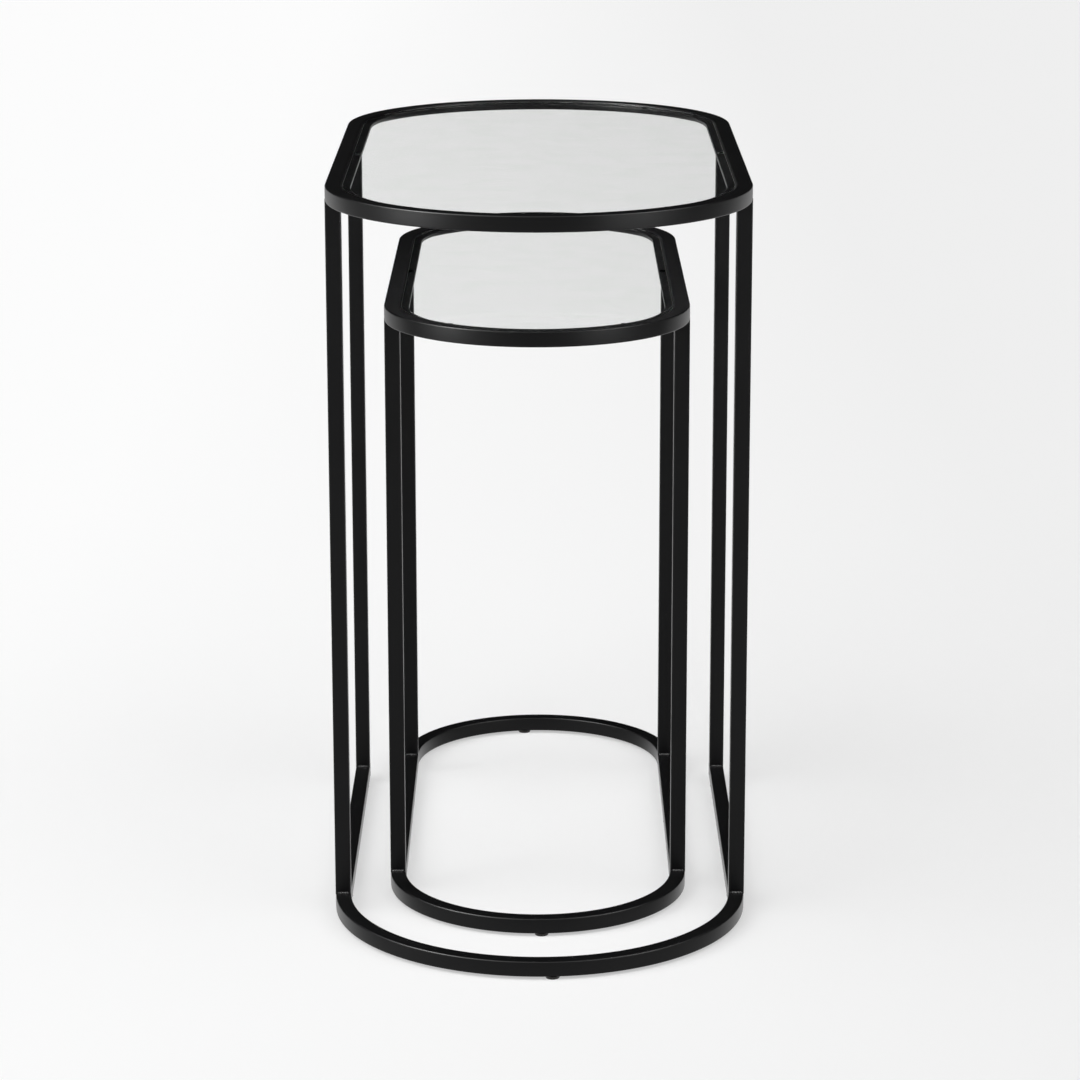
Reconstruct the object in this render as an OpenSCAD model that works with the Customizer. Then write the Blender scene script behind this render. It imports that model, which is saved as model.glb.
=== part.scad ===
// Set of two nesting side tables: square steel tube frames with drop-in glass tops.
// Both tables are stadium-shaped in plan: two straight sides and two half-round ends.
// The large table's base is open at the rear (+Y), and the small table slides in there.
// The origin is on the floor under the middle of the large table. +Z is up.

/* [Tube] */
// Outside width of the square tube
tube = 12.7; // [11:0.1:14]
// Wall thickness of the tube
tube_wall = 1.2; // [0.9:0.1:1.8]
// Outside radius of the tube's four corners
tube_corner = 1.2; // [0.8:0.1:1.6]
// Side of the weld bead where a leg meets a rail
weld_bead = 1.8; // [0.8:0.1:2.5]

/* [Large table] */
// Width across the straight sides
large_width = 335; // [330:1:360]
// Length of the rings' straight sides
large_straight = 350; // [340:1:400]
// Length over the outer faces of the front and rear legs
large_leg_span = 350; // [330:1:370]
// How far the legs stand ahead of the middle of the top ring
large_legs_ahead = 10.5; // [0:0.5:15]
// Height of the rim above the floor
large_height = 600; // [570:1:640]

/* [Small table] */
// Width across the straight sides
small_width = 246; // [230:1:250]
// Length of the rings' straight sides
small_straight = 316; // [300:1:330]
// Length over the outer faces of the front and rear legs
small_leg_span = 331; // [310:1:340]
// Height of the rim above the floor
small_height = 495; // [470:1:505]
// How far its middle stands behind the middle of the large table
small_rearward = 34; // [0:1:40]
// How far its middle stands to the right of the middle of the large table
small_aside = -1.5; // [-5:0.5:5]

/* [Glass tops] */
// Thickness of the glass
glass_thick = 5; // [4:0.5:6]
// Depth of the glass face below the rim
glass_recess = 0.8; // [0.5:0.1:1]
// Gap between the edge of the glass and the tube
glass_gap = 1; // [0.5:0.1:2]
// Width of the flat bar that carries the glass
ledge_width = 7.5; // [6.5:0.5:10]
// Thickness of the flat bar that carries the glass
ledge_thick = 3; // [2:0.5:3]
// Height of the clear pads between the bar and the glass
pad_high = 1; // [0.6:0.1:1]

/* [Floor glides] */
// Diameter of a glide where it meets the tube
glide_wide = 12.6; // [11:0.1:12.6]
// Height of a glide under the tube
glide_high = 2.5; // [2:0.1:4]
// Sideways place of the large table's front glide
large_front_shift = 10; // [-20:1:20]
// Sideways place of the small table's front glide
small_front_shift = 3; // [-20:1:20]
// Sideways place of the small table's rear glide
small_rear_shift = -13; // [-20:1:20]

/* [Hidden] */
$fn = 96;
LEFT = -1;
RIGHT = 1;
FRONT = -1;
REAR = 1;
BLACK = "#1c1c1e";
rail_top = glide_high + tube;
end_cap_thick = 2;
glide_taper = 0.8;
peg_radius = 3;
peg_long = tube_wall + 5;
pad_radius = 3;
pad_angle = 50;
glide_inset = tube / 2;
// The glass and its ledge, measured down from the rim
glass_under = glass_recess + glass_thick;
ledge_top = glass_under + pad_high;
// From the outer face of a leg to the middle of the rail glide beside it
glide_from_end = 30;
// The rear legs' rear faces, where the large base ends
large_rail_end = large_leg_span / 2 - large_legs_ahead;

// Places in plan where glides stand under each table, from that table's middle
large_glide_places = concat(
    [end_place(large_width, large_straight, glide_inset, large_front_shift, FRONT)],
    rail_places(large_width, glide_inset,
        [large_rail_end - large_leg_span + glide_from_end, large_rail_end - glide_from_end])
);
small_glide_places = concat(
    [end_place(small_width, small_straight, glide_inset, small_front_shift, FRONT)],
    [end_place(small_width, small_straight, glide_inset, small_rear_shift, REAR)],
    rail_places(small_width, glide_inset, [0])
);

// A point on a half-round end, inset from its outer edge and shifted sideways by x
function end_place(width, straight, inset, x, end) =
    let (r = width / 2 - inset)
    [x, end * (straight / 2 + sqrt(r * r - x * x))];

// Points on both straight sides, at the given distances along them
function rail_places(width, inset, along) =
    [for (side = [LEFT, RIGHT], y = along) [side * (width / 2 - inset), y]];

// Places of the six glass pads: one halfway along each side and two on each end
function pad_places(width, straight) =
    let (inset = tube + ledge_width / 2, r = width / 2 - inset)
    concat(
        rail_places(width, inset, [0]),
        [for (side = [LEFT, RIGHT], end = [FRONT, REAR])
            [side * r * cos(pad_angle), end * (straight / 2 + r * sin(pad_angle))]]
    );

// Plan outline with half-round ends, set in evenly from the outer edge
module stadium(width, straight, inset) {
    r = width / 2 - inset;
    square([2 * r, straight], center = true);
    for (end = [FRONT, REAR])
        translate([0, end * straight / 2]) circle(r = r);
}

// Flat closed band that follows the plan outline
module stadium_band(width, straight, inset, wide, thick) {
    linear_extrude(thick)
        difference() {
            stadium(width, straight, inset);
            stadium(width, straight, inset + wide);
        }
}

// Cross-section of the square tube, with rounded outside corners
module tube_section() {
    flat = tube - 2 * tube_corner;
    difference() {
        union() {
            square([flat, tube], center = true);
            square([tube, flat], center = true);
            for (x = [-flat / 2, flat / 2], y = [-flat / 2, flat / 2])
                translate([x, y]) circle(r = tube_corner);
        }
        square(tube - 2 * tube_wall, center = true);
    }
}

// Half-round bend of tube about the origin, on the front or rear side
module tube_bend(width, end) {
    rotate([0, 0, end == REAR ? 0 : 180])
        rotate_extrude(angle = 180)
            translate([(width - tube) / 2, 0]) tube_section();
}

// Straight tube along one side
module tube_side(width, straight, side) {
    translate([side * (width - tube) / 2, -straight / 2, 0])
        rotate([-90, 0, 0])
            linear_extrude(straight) tube_section();
}

// Tube bent around the plan outline, with a bend at each end listed
module bent_tube(width, straight, ends, z) {
    translate([0, 0, z + tube / 2])
        union() {
            for (side = [LEFT, RIGHT])
                tube_side(width, straight, side);
            for (end = ends)
                translate([0, end * straight / 2, 0]) tube_bend(width, end);
        }
}

// Bent base tube with a peg hole in its lower wall at each glide
module base_tube(width, straight, ends, places) {
    difference() {
        bent_tube(width, straight, ends, glide_high);
        for (p = places)
            translate([p.x, p.y, glide_high - 1])
                cylinder(r = peg_radius, h = tube_wall + 2);
    }
}

// Upright tube between the base and the top ring, at one corner
module leg(width, span, height, side, end) {
    translate([side * (width - tube) / 2, end * (span - tube) / 2, rail_top])
        linear_extrude(height - tube - rail_top) tube_section();
}

// Fillet weld along one face of a leg. facing is -1 for a front face and 1 for a rear face,
// up is 1 for a weld that stands on a rail and -1 for one that hangs under the top ring.
module leg_weld(facing, up) {
    long = tube - 2 * tube_corner;
    translate([-long / 2, 0, 0])
        rotate([90, 0, 90])
            linear_extrude(long)
                polygon([[0, 0], [facing * weld_bead, 0], [0, up * weld_bead]]);
}

// All the welds of one table. At base_facings lists the end and facing of each base weld.
module table_welds(width, span, height, base_facings) {
    for (side = [LEFT, RIGHT])
        translate([side * (width - tube) / 2, 0, 0]) {
            for (f = base_facings)
                translate([0, leg_face(span, f[0], f[1]), rail_top]) leg_weld(f[1], 1);
            for (end = [FRONT, REAR], facing = [-1, 1])
                translate([0, leg_face(span, end, facing), height - tube]) leg_weld(facing, -1);
        }
}

// Place along Y of the front or rear face of the leg at one end
function leg_face(span, end, facing) =
    end * (span - tube) / 2 + facing * tube / 2;

// Moulded glides: a tapered disc with a peg that presses into the tube
module glides(places) {
    for (p = places)
        translate([p.x, p.y, 0])
            union() {
                cylinder(r1 = glide_wide / 2 - glide_taper, r2 = glide_wide / 2, h = glide_high);
                translate([0, 0, glide_high]) cylinder(r = peg_radius, h = peg_long);
            }
}

// Clear pads on the ledge
module glass_pads(width, straight, height) {
    for (p = pad_places(width, straight))
        translate([p.x, p.y, height - ledge_top])
            cylinder(r = pad_radius, h = pad_high);
}

module glass_ledge(width, straight, height) {
    translate([0, 0, height - ledge_top - ledge_thick])
        stadium_band(width, straight, tube, ledge_width, ledge_thick);
}

module glass_sheet(width, straight, height) {
    translate([0, 0, height - glass_under])
        linear_extrude(glass_thick)
            stadium(width, straight, tube + glass_gap);
}

// Large table

module large_top_ring() {
    color(BLACK) bent_tube(large_width, large_straight, [FRONT, REAR], large_height - tube);
}

module large_glass_ledge() {
    color(BLACK) glass_ledge(large_width, large_straight, large_height);
}

module large_glass_pads() {
    color("#dfe6e2", 0.6) glass_pads(large_width, large_straight, large_height);
}

module large_glass() {
    color("#cfdad4", 0.35) glass_sheet(large_width, large_straight, large_height);
}

module large_leg(side, end) {
    color(BLACK)
        translate([0, -large_legs_ahead, 0])
            leg(large_width, large_leg_span, large_height, side, end);
}

// The base tube stops short of the rear legs' rear faces by the caps' thickness
module large_base_rail() {
    color(BLACK)
        difference() {
            base_tube(large_width, large_straight, [FRONT], large_glide_places);
            translate([-large_width, large_rail_end - end_cap_thick, 0])
                cube([2 * large_width, large_straight, rail_top + tube]);
        }
}

module large_rail_end_caps() {
    color(BLACK)
        for (side = [LEFT, RIGHT])
            translate([side * (large_width - tube) / 2, large_rail_end, glide_high + tube / 2])
                rotate([90, 0, 0])
                    linear_extrude(end_cap_thick)
                        square(tube, center = true);
}

module large_glides() {
    color("#17171a") glides(large_glide_places);
}

module large_weld_beads() {
    color(BLACK)
        translate([0, -large_legs_ahead, 0])
            table_welds(large_width, large_leg_span, large_height,
                [[FRONT, -1], [FRONT, 1], [REAR, -1]]);
}

// Small table

// Moves a piece to where the small table stands
module nested() {
    translate([small_aside, small_rearward, 0]) children();
}

module small_top_ring() {
    color(BLACK) nested() bent_tube(small_width, small_straight, [FRONT, REAR], small_height - tube);
}

module small_glass_ledge() {
    color(BLACK) nested() glass_ledge(small_width, small_straight, small_height);
}

module small_glass_pads() {
    color("#dfe6e2", 0.6) nested() glass_pads(small_width, small_straight, small_height);
}

module small_glass() {
    color("#cfdad4", 0.35) nested() glass_sheet(small_width, small_straight, small_height);
}

module small_leg(side, end) {
    color(BLACK) nested() leg(small_width, small_leg_span, small_height, side, end);
}

module small_base_ring() {
    color(BLACK) nested() base_tube(small_width, small_straight, [FRONT, REAR], small_glide_places);
}

module small_glides() {
    color("#17171a") nested() glides(small_glide_places);
}

module small_weld_beads() {
    color(BLACK)
        nested()
            table_welds(small_width, small_leg_span, small_height,
                [[FRONT, -1], [FRONT, 1], [REAR, -1], [REAR, 1]]);
}

large_top_ring();
large_glass_ledge();
large_glass_pads();
large_glass();
large_leg(LEFT, FRONT);  // large_leg_front_left
large_leg(RIGHT, FRONT);  // large_leg_front_right
large_leg(LEFT, REAR);  // large_leg_rear_left
large_leg(RIGHT, REAR);  // large_leg_rear_right
large_base_rail();
large_rail_end_caps();
large_glides();
large_weld_beads();
small_top_ring();
small_glass_ledge();
small_glass_pads();
small_glass();
small_leg(LEFT, FRONT);  // small_leg_front_left
small_leg(RIGHT, FRONT);  // small_leg_front_right
small_leg(LEFT, REAR);  // small_leg_rear_left
small_leg(RIGHT, REAR);  // small_leg_rear_right
small_base_ring();
small_glides();
small_weld_beads();
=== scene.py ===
# %% [markdown]
# # Two nesting side tables in black steel and clear glass
# The real set is two welded frames of thin square tube. Each frame holds a loose sheet of glass in its
# top ring, and the small table slides in under the large one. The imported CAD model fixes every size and
# place, so this lesson reads its sizes from that model and spends its effort on the surfaces: the soft
# corners of drawn tube, the ripples of a weld, the ground edge of the glass and the powder coat.

# %% Load the fixed frame
import random
from math import cos, pi, radians, sin, sqrt

import bmesh
import bpy
from mathutils import Euler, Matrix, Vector


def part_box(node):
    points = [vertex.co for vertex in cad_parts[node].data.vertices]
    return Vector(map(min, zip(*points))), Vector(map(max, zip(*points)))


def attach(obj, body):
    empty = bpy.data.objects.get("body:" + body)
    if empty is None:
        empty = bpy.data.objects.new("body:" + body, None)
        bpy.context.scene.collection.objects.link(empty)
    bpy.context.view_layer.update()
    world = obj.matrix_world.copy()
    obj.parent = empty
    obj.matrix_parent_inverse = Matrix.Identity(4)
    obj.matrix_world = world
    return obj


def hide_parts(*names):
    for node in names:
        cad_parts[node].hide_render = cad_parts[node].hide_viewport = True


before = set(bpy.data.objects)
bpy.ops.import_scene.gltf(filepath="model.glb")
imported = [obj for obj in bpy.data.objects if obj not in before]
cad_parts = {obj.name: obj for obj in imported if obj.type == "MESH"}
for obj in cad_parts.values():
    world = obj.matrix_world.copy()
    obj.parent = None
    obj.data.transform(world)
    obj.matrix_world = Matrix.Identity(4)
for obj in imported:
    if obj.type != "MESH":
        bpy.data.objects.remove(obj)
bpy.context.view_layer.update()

# %% [markdown]
# ## Units and small helpers
# Blender works in metres here, and a maker thinks in millimetres, so one constant turns one into the
# other. Colours are written as the sRGB hex values that a paint chart gives, and one function turns
# them into the linear values that the shaders expect. One more function adds a shader node, sets it up
# and links it, which keeps each material short enough to read at a glance.

# %% Units, colours and shader nodes
MM = 0.001
scene = bpy.context.scene
UP = Vector((0, 0, 1))


def linear(hex_code):
    """An sRGB hex colour as linear red, green, blue and alpha."""
    parts = [int(hex_code[i:i + 2], 16) / 255 for i in (1, 3, 5)]
    return [c / 12.92 if c <= 0.04045 else ((c + 0.055) / 1.055) ** 2.4 for c in parts] + [1.0]


def add(tree, kind, inputs=None, **settings):
    """Adds a node. An input is a number, a colour or another node's output socket."""
    made = tree.nodes.new(kind)
    for name, value in settings.items():
        setattr(made, name, value)
    for name, value in (inputs or {}).items():
        if isinstance(value, bpy.types.NodeSocket):
            tree.links.new(value, made.inputs[name])
        else:
            made.inputs[name].default_value = value
    return made


def empty_material(name):
    """A material with nothing in it but its output, and its node tree."""
    material = bpy.data.materials.new(name)
    material.use_nodes = True
    material.node_tree.nodes.clear()
    output = add(material.node_tree, "ShaderNodeOutputMaterial")
    return material, material.node_tree, output


def per_metre(size_mm):
    """The texture scale at which one feature of a noise is this many millimetres across."""
    return 1 / (size_mm * MM)


print("1 mm is", MM, "of a Blender unit")

# %% [markdown]
# ## The camera
# A product shot is taken from well back with a long lens, so that the legs stay nearly parallel.
# The camera stands 2.95 m from the middle of the set, a metre up, and looks down 14 degrees at the
# closed end of the large table.

# %% Camera
LENS_MM = 118.8
SENSOR_MM = 36
CAMERA_PLACE = (0.0007, -2.9470, 1.0147)
LOOK_DOWN = 0.24854
TILT = 0.0013
TURN = -0.0003
camera_data = bpy.data.cameras.new("long_lens")
camera_data.sensor_width = SENSOR_MM
camera_data.lens = LENS_MM
camera_data.clip_end = 200
camera = bpy.data.objects.new("camera", camera_data)
camera.location = CAMERA_PLACE
camera.rotation_euler = Euler((pi / 2 - LOOK_DOWN, TILT, TURN), "XYZ")
scene.collection.objects.link(camera)
scene.camera = camera
print("camera looks down", round(LOOK_DOWN * 180 / pi, 1), "degrees")

# %% [markdown]
# ## The studio
# The set stands on a light table: a sheet of white acrylic that is lit from above and from below, so
# the shadows at the feet stay faint. About half of its glow comes from below. Its colour is painted a
# touch darker to the right, as painted shade where the light falls off, and it is so large that no edge
# of it ever shows.

# %% Floor
FLOOR_HALF = 40.0
FALL_OFF = 0.55
FROM_BELOW = 0.52
FLOOR_LIGHT = 1.03
floor_mesh = bpy.data.meshes.new("studio_floor")
corners = [(-FLOOR_HALF, -FLOOR_HALF, 0), (FLOOR_HALF, -FLOOR_HALF, 0),
           (FLOOR_HALF, FLOOR_HALF, 0), (-FLOOR_HALF, FLOOR_HALF, 0)]
floor_mesh.from_pydata(corners, [], [(0, 1, 2, 3)])
floor = bpy.data.objects.new("studio_floor", floor_mesh)
scene.collection.objects.link(floor)

acrylic, tree, output = empty_material("white_acrylic")
on_floor = add(tree, "ShaderNodeTexCoord").outputs["Object"]
across_floor = add(tree, "ShaderNodeSeparateXYZ", {"Vector": on_floor}).outputs["X"]
side = add(tree, "ShaderNodeMapRange", {"Value": across_floor, "From Min": -FALL_OFF,
                                        "From Max": FALL_OFF})
# Painted shade: the floor colour darkens from left to right, standing in for light that falls off.
tone = add(tree, "ShaderNodeMix", {"Factor": side.outputs["Result"], "A": linear("#f9f9f9"),
                                   "B": linear("#ececec")}, data_type="RGBA")
sheet = add(tree, "ShaderNodeBsdfPrincipled", {"Base Color": tone.outputs["Result"], "Roughness": 0.9,
                                               "Specular IOR Level": 0.0})
below = add(tree, "ShaderNodeEmission", {"Color": tone.outputs["Result"], "Strength": FLOOR_LIGHT})
lit = add(tree, "ShaderNodeMixShader", {0: FROM_BELOW, 1: sheet.outputs["BSDF"],
                                        2: below.outputs["Emission"]})
tree.links.new(lit.outputs["Shader"], output.inputs["Surface"])
floor_mesh.materials.append(acrylic)
print("floor is", 2 * FLOOR_HALF, "m square")

# %% [markdown]
# ## Light
# Two large, soft walls of light stand to the left and right of the camera, the left one brighter. They
# are part of the world, which keeps the floor even. The space behind the set is dark above the floor,
# so the flat tops of the rims stay black.
#
# Black paint shows its form only by what it mirrors. Low strip lights on both sides draw the sheen on
# the curved fronts, and two small high ones draw the lines along the top corners. A retoucher would
# paint such glints in. Here the strips simply don't light matt surfaces and don't show through the
# glass. The white floor is hidden from glossy rays, which meet a grey ground instead. The ground is
# lighter near the feet. It is lighter still behind the set, where the sides of the legs mirror it at a
# glancing angle and show it as thin pale lines.

# %% World light
world = bpy.data.worlds.new("light_tent")
world.use_nodes = True
world.node_tree.nodes.clear()
tree = world.node_tree
outward = add(tree, "ShaderNodeTexCoord").outputs["Generated"]
rise = add(tree, "ShaderNodeSeparateXYZ", {"Vector": outward}).outputs["Z"]


def toward(azimuth, elevation):
    """A direction. The azimuth is 0 towards the camera and 90 towards the left."""
    a, e = radians(azimuth), radians(elevation)
    return Vector((-sin(a) * cos(e), -cos(a) * cos(e), sin(e)))


def wall_of_light(azimuth, elevation, inner, outer, strength):
    """A glow that is full up to the inner angle from its middle and gone at the outer one."""
    near = add(tree, "ShaderNodeVectorMath", {0: outward, 1: toward(azimuth, elevation)},
               operation="DOT_PRODUCT").outputs["Value"]
    return add(tree, "ShaderNodeMapRange", {"Value": near, "From Min": cos(radians(outer)),
                                            "From Max": cos(radians(inner)), "To Max": strength},
               interpolation_type="SMOOTHSTEP").outputs["Result"]


def ground_up_to(low, high, strength):
    """A glow below the horizon that fades out between two heights of the direction."""
    return add(tree, "ShaderNodeMapRange", {"Value": rise, "From Min": low, "From Max": high,
                                            "To Min": strength, "To Max": 0.0}).outputs["Result"]


def together(operation, first, second):
    """Two glows added or multiplied."""
    return add(tree, "ShaderNodeMath", {0: first, 1: second}, operation=operation).outputs["Value"]


GROUND = 0.28
GROUND_AT_FEET = 0.30
GAIN_BEHIND = 2.6
WALL_AZIMUTH = 60
WALL_ELEVATION = 48
WALL_INNER = 15
WALL_OUTER = 42
LEFT_WALL = 3.22
RIGHT_WALL = 1.94
ground_far = ground_up_to(-0.08, -0.02, GROUND)
ground_near = ground_up_to(-0.45, -0.12, GROUND_AT_FEET)
ground_behind = together("MULTIPLY", ground_far, wall_of_light(180, -14, 40, 60, GAIN_BEHIND))
ground = together("ADD", together("ADD", ground_far, ground_near), ground_behind)
left_wall = wall_of_light(WALL_AZIMUTH, WALL_ELEVATION, WALL_INNER, WALL_OUTER, LEFT_WALL)
right_wall = wall_of_light(-WALL_AZIMUTH, WALL_ELEVATION, WALL_INNER, WALL_OUTER, RIGHT_WALL)
tent = together("ADD", together("ADD", left_wall, right_wall), ground)
cloth = add(tree, "ShaderNodeBackground", {"Color": linear("#ffffff"), "Strength": tent})
add(tree, "ShaderNodeOutputWorld", {"Surface": cloth.outputs["Background"]})
scene.world = world
floor.visible_glossy = False
scene.view_settings.view_transform = "Standard"
print("the world light has", len(tree.nodes), "nodes")

# %% Strip lights
SET_MIDDLE = Vector((0, 0, 0.5))


def strip(name, azimuth, elevation, away, width, height, brightness):
    """A flat lamp that faces the set and shows only in glossy surfaces."""
    data = bpy.data.lights.new(name, "AREA")
    data.shape = "RECTANGLE"
    data.size = width
    data.size_y = height
    data.energy = brightness * pi * width * height
    lamp = bpy.data.objects.new(name, data)
    lamp.location = SET_MIDDLE + toward(azimuth, elevation) * away
    lamp.rotation_euler = toward(azimuth, elevation).to_track_quat("Z", "Y").to_euler()
    lamp.visible_diffuse = False
    lamp.visible_camera = False
    lamp.visible_transmission = False
    scene.collection.objects.link(lamp)
    print(name, "stands at", [round(v, 2) for v in lamp.location])


# Each line gives the azimuth, elevation, distance, width, height and brightness.
strip("left_sheen", 64, -1.5, 2.2, 1.0, 0.45, 6.8)
strip("left_line", 72, 38, 2.4, 0.5, 0.5, 110.0)
strip("right_sheen", -48, -1.5, 2.2, 1.2, 0.45, 3.6)
strip("right_line", -62, 36, 2.4, 0.5, 0.5, 30.0)

# %% [markdown]
# ## Satin black powder coat
# The frames are steel, blasted and then dusted with dry polyester powder, which melts in an oven into
# one skin about 80 micrometres thick. The skin flows a little as it melts, so it dries with a fine
# pebbled relief. The colour is jet black, as dark as paint gets, so almost all that the eye sees is
# sheen, and the satin roughness of about 0.4 spreads that into soft bands. The relief is really under
# half a millimetre across, and it is drawn a little coarser so that it shows at all.

# %% Powder coat material
PEBBLE_MM = 0.9
MILL_WAVE_MM = 45
SATIN = (0.36, 0.43)
COAT_SPECULAR = 0.3


def powder_coat(name):
    """Near-black paint with a pebbled relief, whose gloss drifts a little along the tube."""
    material, tree, output = empty_material(name)
    place = add(tree, "ShaderNodeTexCoord").outputs["Object"]
    pebble = add(tree, "ShaderNodeTexNoise", {"Vector": place, "Scale": per_metre(PEBBLE_MM), "Detail": 3,
                                              "Roughness": 0.6}).outputs["Fac"]
    wave = add(tree, "ShaderNodeTexNoise", {"Vector": place, "Scale": per_metre(MILL_WAVE_MM),
                                            "Detail": 2}).outputs["Fac"]
    tone = add(tree, "ShaderNodeMix", {"Factor": wave, "A": linear("#050506"), "B": linear("#080809")},
               data_type="RGBA")
    gloss = add(tree, "ShaderNodeMapRange", {"Value": wave, "To Min": SATIN[0], "To Max": SATIN[1]})
    fine = add(tree, "ShaderNodeBump", {"Height": pebble, "Strength": 0.15, "Distance": 0.03 * MM})
    broad = add(tree, "ShaderNodeBump", {"Height": wave, "Strength": 0.3, "Distance": 0.12 * MM,
                                         "Normal": fine.outputs["Normal"]})
    coat = add(tree, "ShaderNodeBsdfPrincipled", {"Base Color": tone.outputs["Result"],
                                                  "Roughness": gloss.outputs["Result"],
                                                  "Specular IOR Level": COAT_SPECULAR,
                                                  "Normal": broad.outputs["Normal"]})
    tree.links.new(coat.outputs["BSDF"], output.inputs["Surface"])
    return material


powder_black = powder_coat("satin_black_powder_coat")
print("made", powder_black.name)

# %% [markdown]
# ## Clear float glass
# The tops are 5 mm float glass, which gets its perfect polish by floating on molten tin, so its
# roughness is nil. The iron in it gives a faint green that only shows where light travels far inside,
# so the tint belongs in the volume and not on the surface. Hands and cloths leave a film in soft
# streaks, which cost the surface a percent or two of its clearness. The rim is ground on a belt, which
# leaves it matt and paler.
#
# At a low angle, bare glass mirrors more than it shows. A polarising filter on the lens takes most of
# that mirror image away, and the same is done here: three quarters of each surface only bends light,
# and the last quarter is complete glass, which bends and mirrors.

# %% Glass materials
GLASS_IOR = 1.52
IRON_GREEN = linear("#dcebe0")
IRON_DENSITY = 6.0
POLARISED = 0.75


def float_glass(name, clean, filmed, streak_mm, low, high):
    """Glass with a film that comes and goes, and a roughness between two values."""
    material, tree, output = empty_material(name)
    place = add(tree, "ShaderNodeTexCoord").outputs["Object"]
    streak = add(tree, "ShaderNodeTexNoise", {"Vector": place, "Scale": per_metre(streak_mm), "Detail": 4,
                                              "Distortion": 0.6}).outputs["Fac"]
    film = add(tree, "ShaderNodeMapRange", {"Value": streak, "From Min": 0.42, "From Max": 0.7})
    tone = add(tree, "ShaderNodeMix", {"Factor": film.outputs["Result"], "A": linear(clean),
                                       "B": linear(filmed)}, data_type="RGBA")
    body = add(tree, "ShaderNodeBsdfPrincipled", {"Base Color": tone.outputs["Result"], "IOR": GLASS_IOR,
                                                  "Transmission Weight": 1.0, "Roughness": low})
    if high > low:
        rough = add(tree, "ShaderNodeMapRange", {"Value": streak, "From Min": 0.3, "From Max": 0.7,
                                                 "To Min": low, "To Max": high})
        tree.links.new(rough.outputs["Result"], body.inputs["Roughness"])
    bend = add(tree, "ShaderNodeBsdfRefraction", {"Color": tone.outputs["Result"], "IOR": GLASS_IOR,
                                                  "Roughness": low})
    seen = add(tree, "ShaderNodeMixShader", {0: POLARISED, 1: body.outputs["BSDF"],
                                             2: bend.outputs["BSDF"]})
    iron = add(tree, "ShaderNodeVolumeAbsorption", {"Color": IRON_GREEN, "Density": IRON_DENSITY})
    tree.links.new(seen.outputs["Shader"], output.inputs["Surface"])
    tree.links.new(iron.outputs["Volume"], output.inputs["Volume"])
    return material


clear_glass = float_glass("clear_float_glass", "#ffffff", "#fdfefd", 30, 0.0, 0.0)
ground_edge = float_glass("ground_glass_edge", "#ffffff", "#e6efe9", 2, 0.3, 0.45)
print("made", clear_glass.name, "and", ground_edge.name)

# %% [markdown]
# ## Rubber and nylon
# Soft clear pads keep the glass from rattling on its ledge. They are clear cast silicone, painted dark
# grey as painted shade for the dark gap between the black ledge and the glass. The glides are moulded
# black nylon, a little warmer and duller than the paint.

# %% Pad and glide materials
def moulded(name, dark, light, roughness, grain_mm, **inputs):
    """A moulded plastic with a faint grain and a small change of tone."""
    material, tree, output = empty_material(name)
    place = add(tree, "ShaderNodeTexCoord").outputs["Object"]
    grain = add(tree, "ShaderNodeTexNoise", {"Vector": place, "Scale": per_metre(grain_mm),
                                             "Detail": 3}).outputs["Fac"]
    tone = add(tree, "ShaderNodeMix", {"Factor": grain, "A": linear(dark), "B": linear(light)},
               data_type="RGBA")
    relief = add(tree, "ShaderNodeBump", {"Height": grain, "Strength": 0.3, "Distance": 0.05 * MM})
    body = add(tree, "ShaderNodeBsdfPrincipled", {"Base Color": tone.outputs["Result"],
                                                  "Roughness": roughness,
                                                  "Normal": relief.outputs["Normal"], **inputs})
    tree.links.new(body.outputs["BSDF"], output.inputs["Surface"])
    return material


# Painted shade: the clear pads are tinted dark grey to stand in for the shade between ledge and glass.
clear_silicone = moulded("clear_silicone_painted_dark", "#5f6562", "#6d7370", 0.12, 1.5,
                         **{"Transmission Weight": 1.0, "IOR": 1.41})
black_nylon = moulded("black_nylon", "#14110f", "#1e1a17", 0.5, 0.8)
print("made", clear_silicone.name, "and", black_nylon.name)

# %% [markdown]
# ## Building meshes by sweeping
# Every long part here is one section carried along a line: square tube, flat bar, and the edge of the
# glass. A sweep places the section at each station of the path and joins neighbouring stations with
# quads. The exact surface directions are known from the section's own formula, so they are stored on
# the mesh. That keeps the flats dead flat and the corners truly round, with few faces.

# %% Mesh helpers
def make_piece(name, points, faces, directions, materials, slots=None):
    """A mesh object from points, faces and one surface direction per face corner."""
    mesh = bpy.data.meshes.new(name)
    mesh.from_pydata(points, [], faces)
    for material in materials:
        mesh.materials.append(material)
    mesh.polygons.foreach_set("use_smooth", [True] * len(faces))
    if slots:
        mesh.polygons.foreach_set("material_index", slots)
    mesh.normals_split_custom_set(directions)
    piece = bpy.data.objects.new(name, mesh)
    scene.collection.objects.link(piece)
    return piece


def stand_for(piece, body, slot, *cad_nodes):
    """The piece takes the place of its CAD nodes and moves with their body."""
    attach(piece, body)
    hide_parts(*cad_nodes)
    print(piece.name, "has", len(piece.data.polygons), "faces and stands for", ", ".join(cad_nodes))
    return piece


def rounded_section(half_wide, half_high, radius, steps=6):
    """A rectangle with round corners, as (across, up, direction across, direction up) at each point."""
    section = []
    for turn, (sx, sy) in enumerate(((1, 1), (-1, 1), (-1, -1), (1, -1))):
        for step in range(steps + 1):
            a = radians(90 * (turn + step / steps))
            section.append((sx * (half_wide - radius) + radius * cos(a),
                            sy * (half_high - radius) + radius * sin(a), cos(a), sin(a)))
    return section


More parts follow.
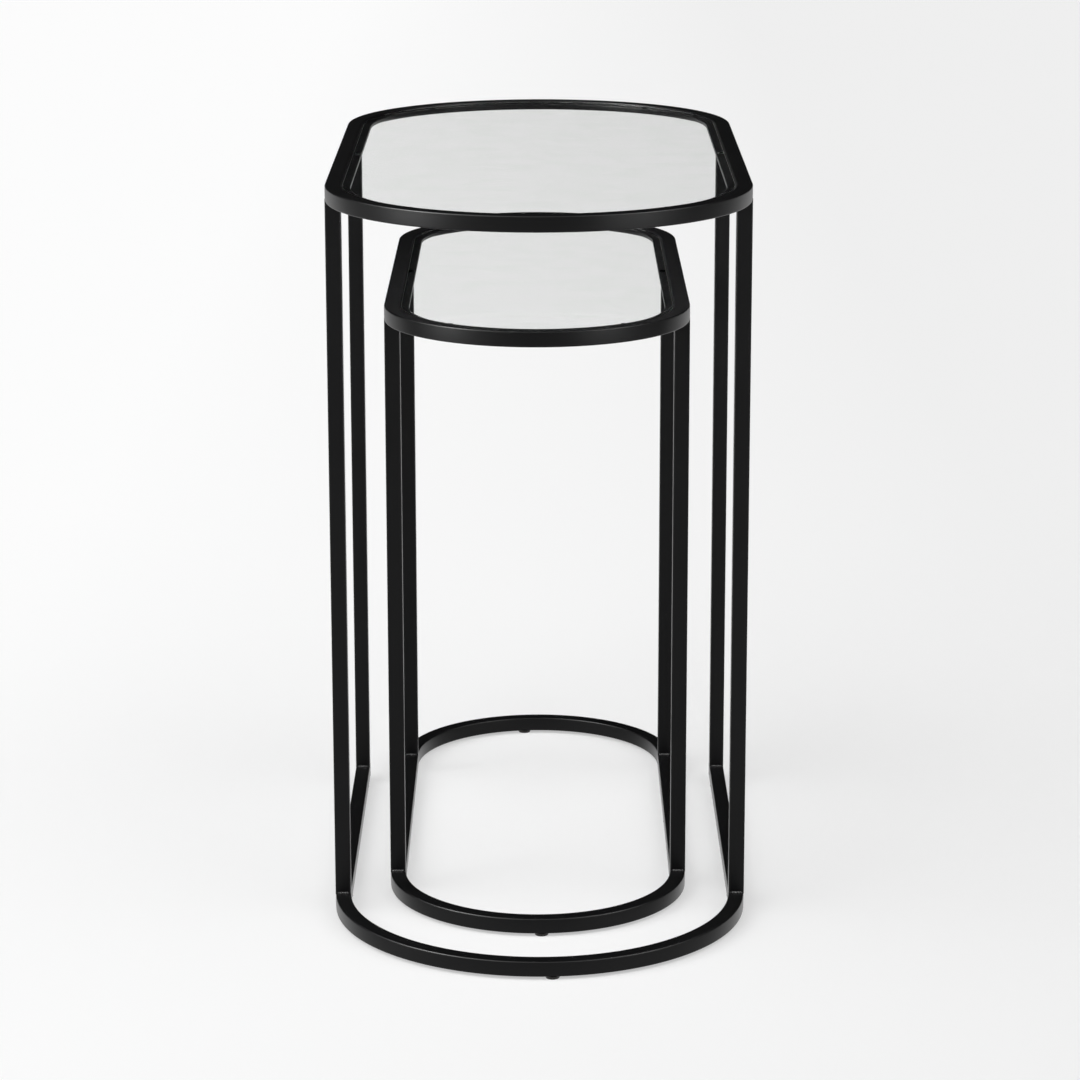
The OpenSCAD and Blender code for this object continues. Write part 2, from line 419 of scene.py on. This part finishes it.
def crowned_square(half, radius, crown, flat_steps=4, corner_steps=6):
    """A square tube's section. Each side bulges a little, turning by the crown angle to either end."""
    spread = (half - radius * (cos(crown) - sin(crown))) / (1 + sin(crown) - cos(crown))
    end = Vector((half - spread * (1 - cos(crown)), spread * sin(crown)))
    pivot = end - radius * Vector((cos(crown), sin(crown)))
    side = []
    for step in range(flat_steps):
        a = crown * (2 * step / flat_steps - 1)
        side.append((half - spread * (1 - cos(a)), spread * sin(a), cos(a), sin(a)))
    for step in range(corner_steps):
        a = crown + (pi / 2 - 2 * crown) * step / corner_steps
        side.append((pivot.x + radius * cos(a), pivot.y + radius * sin(a), cos(a), sin(a)))
    section = []
    for quarter in range(4):
        c, d = round(cos(quarter * pi / 2)), round(sin(quarter * pi / 2))
        section += [(x * c - y * d, x * d + y * c, u * c - v * d, u * d + v * c) for x, y, u, v in side]
    return section


def sweep(section, stations, closed):
    """Points, faces and corner directions of a section carried along stations (middle, across, up)."""
    count = len(section)
    points = [mid + across * s[0] + up * s[1] for mid, across, up in stations for s in section]
    facing = [across * s[2] + up * s[3] for mid, across, up in stations for s in section]
    faces = []
    spans = len(stations) if closed else len(stations) - 1
    for i in range(spans):
        here, ahead = i * count, (i + 1) % len(stations) * count
        for j in range(count):
            k = (j + 1) % count
            faces.append((here + j, here + k, ahead + k, ahead + j))
    directions = [facing[v] for face in faces for v in face]
    if not closed:
        faces.append(tuple(range(count))[::-1])
        directions += [-stations[0][1].cross(stations[0][2])] * count
        faces.append(tuple(range((len(stations) - 1) * count, len(stations) * count)))
        directions += [stations[-1][1].cross(stations[-1][2])] * count
    return points, faces, directions


# %% [markdown]
# ## Reading the sizes
# Each table's plan is a stadium: two straight sides and two half-round ends. Its width and length come
# from the box of the top ring, and the tube's size from a leg. The path runs clockwise seen from above,
# so that across and up, crossed, point along it.

# %% Sizes of both tables
ARC_STEPS = 72
CORNER = 1.2 * MM
CROWN = radians(2)


class Table:
    """One table's sizes, read from the frame, and the paths that run round its plan."""

    def __init__(self, name):
        self.name = name
        self.body = name + "_table"
        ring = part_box(name + "_top_ring")
        front_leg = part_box(name + "_leg_front_left")
        self.tube = front_leg[1].x - front_leg[0].x
        self.half_width = (ring[1].x - ring[0].x) / 2
        self.half_straight = (ring[1].y - ring[0].y) / 2 - self.half_width
        self.middle = Vector(((ring[0].x + ring[1].x) / 2, (ring[0].y + ring[1].y) / 2, 0))
        self.rim = ring[1].z
        self.rail_top = front_leg[0].z

    def round_end(self, inset, end):
        """Stations round the rear (1) or front (-1) end, set in from the outer face."""
        radius = self.half_width - inset
        centre = self.middle + Vector((0, end * self.half_straight, 0))
        stations = []
        for step in range(ARC_STEPS + 1):
            a = pi * (1 - step / ARC_STEPS) if end > 0 else -pi * step / ARC_STEPS
            across = Vector((cos(a), sin(a), 0))
            stations.append((centre + across * radius, across))
        return stations

    def loop(self, inset, z):
        """Stations all the way round, at height z."""
        plan = self.round_end(inset, 1) + self.round_end(inset, -1)
        return [(place + UP * z, across, UP) for place, across in plan]


large = Table("large")
small = Table("small")
for table in (large, small):
    print(table.name, "is", round(2 * table.half_width / MM), "mm wide and",
          round(2 * (table.half_width + table.half_straight) / MM), "mm long, rim at",
          round(table.rim / MM), "mm")

# %% [markdown]
# ## The bent tubes
# Half-inch square tube is rolled from strip, so its corners are slightly round and its sides swell by
# the thickness of a sheet of paper. The corners catch the light, and the sides shade it off. The top
# rings are bent round a former and closed with a butt weld that is ground flush. The large base is left
# open at the rear as a U.

# %% Top rings and bases
def tube_section(table):
    """The section of the table's tube, with its corners rolled and its sides a little full."""
    return crowned_square(table.tube / 2, CORNER, CROWN)


for table in (large, small):
    half = table.tube / 2
    path = table.loop(half, table.rim - half)
    ring = make_piece(table.name + "_ring_tube", *sweep(tube_section(table), path, True), [powder_black])
    stand_for(ring, table.body, "black_powder_coat", table.name + "_top_ring")

path = small.loop(small.tube / 2, small.rail_top - small.tube / 2)
small_base = make_piece("small_base_tube", *sweep(tube_section(small), path, True), [powder_black])
stand_for(small_base, small.body, "black_powder_coat", "small_base_ring")

rail_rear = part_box("large_base_rail")[1].y
rail_z = large.rail_top - large.tube / 2
rail_reach = large.half_width - large.tube / 2
RIGHT = Vector((1, 0, 0))
front_bend = [(place + UP * rail_z, across, UP) for place, across in large.round_end(large.tube / 2, -1)]
right_end = (Vector((large.middle.x + rail_reach, rail_rear, rail_z)), RIGHT, UP)
left_end = (Vector((large.middle.x - rail_reach, rail_rear, rail_z)), -RIGHT, UP)
path = [right_end] + front_bend + [left_end]
base_rail = make_piece("large_base_tube", *sweep(tube_section(large), path, False), [powder_black])
stand_for(base_rail, large.body, "black_powder_coat", "large_base_rail")

# %% [markdown]
# ## Legs
# Each leg is the same tube stood upright, with its outer face flush with the straight sides of the rail
# and the ring. The weld fills the small groove that the ring's round corner leaves, so the legs run a
# little way into it.

# %% Legs
BITE = 0.8 * CORNER
BACK = Vector((0, 1, 0))
for table in (large, small):
    for corner in ("front_left", "front_right", "rear_left", "rear_right"):
        node = f"{table.name}_leg_{corner}"
        low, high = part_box(node)
        mid = (low + high) / 2
        ends = [Vector((mid.x, mid.y, low.z - BITE)), Vector((mid.x, mid.y, high.z + BITE))]
        path = [(end, RIGHT, BACK) for end in ends]
        leg = make_piece(node + "_tube", *sweep(tube_section(table), path, False), [powder_black])
        stand_for(leg, table.body, "black_powder_coat", node)

# %% [markdown]
# ## Ledges
# A flat bar is bent on edge and welded round the inside of each ring. The glass rests on it. Its edges
# are rolled, so they get a smaller radius than the tube's.

# %% Ledges
BAR_CORNER = 0.5 * MM
BAR_WIDE = 7.5 * MM
for table in (large, small):
    node = table.name + "_glass_ledge"
    low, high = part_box(node)
    thick = high.z - low.z
    inset = table.half_width - (high.x - low.x) / 2 + BAR_WIDE / 2
    section = rounded_section(BAR_WIDE / 2, thick / 2, BAR_CORNER, 4)
    path = table.loop(inset, low.z + thick / 2)
    ledge = make_piece(node + "_bar", *sweep(section, path, True), [powder_black])
    stand_for(ledge, table.body, "black_powder_coat", node)

# %% [markdown]
# ## Glass tops
# Each sheet is cut to the inside of the ring with a millimetre to spare. The sharp edges are taken off
# on a belt at 45 degrees, and the ground band between the two arrises stays matt.

# %% Glass sheets
ARRIS = 0.7 * MM


def glass_sheet(table):
    """A table's glass, as four outlines stacked from its top face to its underside."""
    node = table.name + "_glass"
    low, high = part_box(node)
    inset = table.half_width - (high.x - low.x) / 2
    outline = table.loop(inset, 0)
    levels = [(high.z, ARRIS), (high.z - ARRIS, 0), (low.z + ARRIS, 0), (low.z, ARRIS)]
    count = len(outline)
    points = [place - across * back + UP * z for z, back in levels for place, across, up in outline]
    faces, directions, slots = [], [], []
    band_tilts = [(sqrt(0.5), sqrt(0.5)), (1, 0), (sqrt(0.5), -sqrt(0.5))]
    for level, (out, rise) in enumerate(band_tilts):
        above, below = level * count, (level + 1) * count
        for i in range(count):
            k = (i + 1) % count
            faces.append((above + i, above + k, below + k, below + i))
            for v in (i, k, k, i):
                directions.append(outline[v][1] * out + UP * rise)
            slots.append(1)
    faces.append(tuple(range(count))[::-1])
    directions += [UP] * count
    faces.append(tuple(range(3 * count, 4 * count)))
    directions += [-UP] * count
    slots += [0, 0]
    sheet = make_piece(node + "_sheet", points, faces, directions, [clear_glass, ground_edge], slots)
    sheet.visible_shadow = False
    stand_for(sheet, table.name + "_glass_top", "clear_glass", node)


for table in (large, small):
    glass_sheet(table)


# %% [markdown]
# ## Small turned and moulded pieces
# Pads and glides are round, so each is one outline spun about its own upright axis. Their places come
# from the CAD solids: a node can hold several separate solids, and each one's box gives a place.

# %% Islands and lathe
def islands(node):
    """The box of each separate solid in a CAD node, front to rear and left to right."""
    mesh = bmesh.new()
    mesh.from_mesh(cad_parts[node].data)
    bmesh.ops.remove_doubles(mesh, verts=mesh.verts, dist=0.01 * MM)
    left = set(mesh.verts)
    boxes = []
    while left:
        queue = [left.pop()]
        group = [queue[0].co.copy()]
        while queue:
            for edge in queue.pop().link_edges:
                for v in edge.verts:
                    if v in left:
                        left.remove(v)
                        queue.append(v)
                        group.append(v.co.copy())
        boxes.append((Vector(min(p[i] for p in group) for i in range(3)),
                      Vector(max(p[i] for p in group) for i in range(3))))
    mesh.free()
    return sorted(boxes, key=lambda b: (round(b[0].y, 4), round(b[0].x, 4), round(b[0].z, 4)))


def lathe(middle, outline, steps=40):
    """A closed solid of revolution. The outline runs from the top of the axis, out, and back below."""
    points = [middle + UP * outline[0][1]]
    rings = outline[1:-1]
    turns = [2 * pi * i / steps for i in range(steps)]
    for r, z in rings:
        points += [middle + Vector((r * cos(a), r * sin(a), z)) for a in turns]
    points.append(middle + UP * outline[-1][1])
    last = len(points) - 1
    faces = []
    for i in range(steps):
        k = (i + 1) % steps
        faces.append((0, 1 + i, 1 + k))
        for level in range(len(rings) - 1):
            a, b = 1 + level * steps, 1 + (level + 1) * steps
            faces.append((a + i, b + i, b + k, a + k))
        a = 1 + (len(rings) - 1) * steps
        faces.append((a + i, last, a + k))
    return points, faces


def make_plain(name, parts, material):
    """One smooth mesh from several (points, faces), with creases kept where the surface turns sharply."""
    points, faces = [], []
    for more_points, more_faces in parts:
        base = len(points)
        points += more_points
        faces += [tuple(v + base for v in face) for face in more_faces]
    mesh = bpy.data.meshes.new(name)
    mesh.from_pydata(points, [], faces)
    mesh.polygons.foreach_set("use_smooth", [True] * len(faces))
    mesh.set_sharp_from_angle(angle=radians(38))
    mesh.materials.append(material)
    piece = bpy.data.objects.new(name, mesh)
    scene.collection.objects.link(piece)
    return piece


def arc_points(r_mid, z_mid, radius, start, stop, steps=5):
    """Points of an outline's rounded corner, from one angle to another in degrees."""
    turn = [radians(start + (stop - start) * i / steps) for i in range(steps + 1)]
    return [(r_mid + radius * cos(a), z_mid + radius * sin(a)) for a in turn]


# %% Pads and glides
PAD_SOFT = 0.35
PEG = 3 * MM
LIP = 0.4 * MM
TAPER = 0.8 * MM
SOFT = 0.5 * MM
DISH = 0.3 * MM
DISH_OUTER = 0.4
DISH_INNER = 0.36
for table in (large, small):
    node = table.name + "_glass_pads"
    parts = []
    for low, high in islands(node):
        middle, r, h = (low + high) / 2, (high.x - low.x) / 2, high.z - low.z
        soft = PAD_SOFT * h
        outline = [(0, h / 2)] + arc_points(r - soft, h / 2 - soft, soft, 90, 0)
        outline += arc_points(r - soft, soft - h / 2, soft, 0, -90) + [(0, -h / 2)]
        parts.append(lathe(middle, outline))
    pads = make_plain(node + "_silicone", parts, clear_silicone)
    stand_for(pads, table.body, "clear_pads", node)

    node = table.name + "_glides"
    parts = []
    rail_under = table.rail_top - table.tube
    for low, high in islands(node):
        middle = Vector(((low.x + high.x) / 2, (low.y + high.y) / 2, 0))
        r = (high.x - low.x) / 2
        outline = [(0, high.z), (PEG, high.z), (PEG, rail_under), (r, rail_under), (r, rail_under - LIP)]
        outline += arc_points(r - TAPER - SOFT, SOFT, SOFT, 0, -90)
        outline += [(DISH_OUTER * r, 0), (DISH_INNER * r, DISH), (0, DISH)]
        parts.append(lathe(middle, outline))
    glides = make_plain(node + "_nylon", parts, black_nylon)
    stand_for(glides, table.body, "black_glides", node)

# %% [markdown]
# ## Rail end caps
# The two open ends of the large base are closed with small steel plates, welded on and dressed flush.
# Their edges are just broken with a file.

# %% End caps
BROKEN = 0.4 * MM
cap_parts = []
for low, high in islands("large_rail_end_caps"):
    mid = (low + high) / 2
    half = (high.x - low.x) / 2
    outline = rounded_section(half, half, CORNER)
    inner = rounded_section(half - BROKEN, half - BROKEN, CORNER - BROKEN)
    levels = [(low.y, outline), (high.y - BROKEN, outline), (high.y, inner)]
    count = len(outline)
    points = [Vector((mid.x + s[0], y, mid.z + s[1])) for y, shape in levels for s in shape]
    faces = [tuple(range(count)), tuple(range(2 * count, 3 * count))[::-1]]
    for level in range(2):
        for j in range(count):
            k = (j + 1) % count
            a, b = level * count, (level + 1) * count
            faces.append((a + j, b + j, b + k, a + k))
    cap_parts.append((points, faces))
caps = make_plain("large_rail_end_cap_plates", cap_parts, powder_black)
stand_for(caps, large.body, "black_powder_coat", "large_rail_end_caps")

# %% [markdown]
# ## Weld beads
# Each leg is welded along its front and rear faces. A bead is a small fillet, and the puddle freezes in
# ripples a little over a millimetre apart, so its radius is made to rise and fall along its length.

# %% Beads
RIPPLE_MM = 1.3
RIPPLE = 0.09
ROUGH = 0.03
FILL = 0.88
END_FILL = 0.45
END_SLOPE = 6
ROOT = 0.2 * MM
BEAD_STATIONS = 36
BEAD_STEPS = 6
random.seed(5)


def bead(low, high, facing, up):
    """One fillet along X, against a leg's face on one side and a rail on the other."""
    corner_y = low.y if facing > 0 else high.y
    corner_z = low.z if up > 0 else high.z
    size = high.z - low.z
    long = high.x - low.x
    phase = random.uniform(0, 2 * pi)
    points, faces = [], []
    for i in range(BEAD_STATIONS + 1):
        along = i / BEAD_STATIONS
        taper = min(1.0, END_FILL + END_SLOPE * min(along, 1 - along))
        ripple = RIPPLE * sin(2 * pi * along * long / (RIPPLE_MM * MM) + phase)
        ripple += random.uniform(-ROUGH, ROUGH)
        radius = size * taper * (FILL + ripple)
        x = low.x + along * long
        points.append(Vector((x, corner_y - facing * ROOT, corner_z - up * ROOT)))
        for step in range(BEAD_STEPS + 1):
            a = radians(90 * step / BEAD_STEPS)
            out, rise = radius * cos(a), radius * sin(a)
            points.append(Vector((x, corner_y + facing * out, corner_z + up * rise)))
    count = BEAD_STEPS + 2
    for i in range(BEAD_STATIONS):
        for j in range(count):
            k = (j + 1) % count
            a, b = i * count, (i + 1) * count
            face = (a + j, b + j, b + k, a + k)
            faces.append(face if facing * up < 0 else face[::-1])
    start = tuple(range(count))
    end = tuple(range(BEAD_STATIONS * count, (BEAD_STATIONS + 1) * count))
    if facing * up < 0:
        faces += [start, end[::-1]]
    else:
        faces += [start[::-1], end]
    return points, faces


for table in (large, small):
    node = table.name + "_weld_beads"
    mid_z = table.rim / 2
    legs = [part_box(f"{table.name}_leg_{end}_left") for end in ("front", "rear")]
    leg_middles = [low.y + table.tube / 2 for low, high in legs]
    parts = []
    for low, high in islands(node):
        y = (low.y + high.y) / 2
        leg_y = min(leg_middles, key=lambda m: abs(m - y))
        parts.append(bead(low, high, 1 if y > leg_y else -1, 1 if low.z < mid_z else -1))
    beads = make_plain(node + "_metal", parts, powder_black)
    stand_for(beads, table.body, "black_powder_coat", node)
